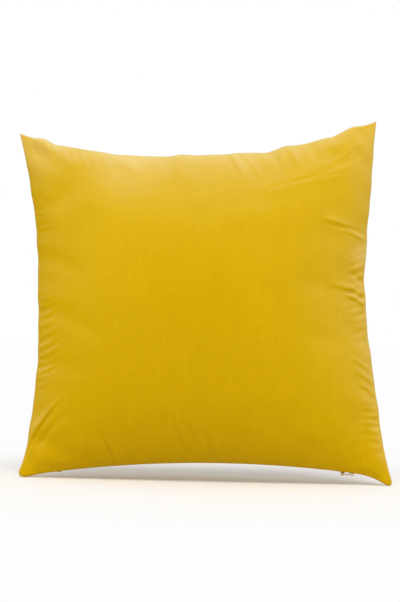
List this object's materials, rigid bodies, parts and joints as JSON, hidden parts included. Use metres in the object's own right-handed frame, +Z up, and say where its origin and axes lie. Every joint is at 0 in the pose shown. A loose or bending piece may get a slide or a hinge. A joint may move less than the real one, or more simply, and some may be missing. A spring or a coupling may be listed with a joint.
{
  "type": "throw pillow",
  "caption": "Square knife-edge throw pillow in plush velvet, with a concealed zip in the bottom seam that opens to a removable stuffed insert.",
  "frame": {"origin": "middle of the bounding box on the floor, with the pillow upright on its two bottom corners", "axes": "+X to the right along the bottom seam, +Y out of the back of the pillow, +Z up; the front faces -Y"},
  "size_m": [0.4552, 0.155, 0.4368],
  "materials": {
    "velvet": "short-pile mustard-yellow velvet, soft sheen",
    "thread": "matt mustard polyester thread",
    "zip_tape": "matt woven polyester tape, dyed to match",
    "zip_coil": "satin nylon coil, dyed to match",
    "zip_metal": "gloss enamel over zinc, dyed to match",
    "ticking": "plain-weave off-white polycotton",
    "ticking_thread": "matt off-white thread",
    "fibre": "matt white hollow polyester fibre",
    "label": "blank white satin tape"
  },
  "bodies": {
    "pillow": {"cover_front_panel": "velvet", "cover_back_panel": "velvet", "cover_overlock_left": "thread", "cover_overlock_top": "thread", "cover_overlock_right": "thread", "cover_seam_tack_left": "thread", "cover_seam_tack_right": "thread", "cover_care_label": "label", "zipper_tape_front": "zip_tape", "zipper_tape_back": "zip_tape", "zipper_coil_front": "zip_coil", "zipper_coil_back": "zip_coil", "zipper_stitching_front": "thread", "zipper_stitching_back": "thread", "zipper_top_stop_front": "zip_metal", "zipper_top_stop_back": "zip_metal", "zipper_bottom_stop": "zip_metal", "insert_front_panel": "ticking", "insert_back_panel": "ticking", "insert_seam_thread": "ticking_thread", "insert_closing_stitch": "ticking_thread", "insert_fibre_fill": "fibre", "insert_care_label": "label"},
    "zipper_slider": {"zipper_slider_body": "zip_metal"},
    "zipper_pull": {"zipper_pull_tab": "zip_metal"}
  },
  "joints": [
    {"name": "zipper_travel", "type": "hinge", "parent": "pillow", "child": "zipper_slider", "pos_m": [0.02995, 0, -1.3978], "axis": [0, -1, 0], "range_deg": [0, 13.2]},
    {"name": "pull_swing", "type": "hinge", "parent": "zipper_slider", "child": "zipper_pull", "pos_m": [0.16918, 0, 0.01285], "axis": [0, 1, 0], "range_deg": [0, 180]}
  ]
}
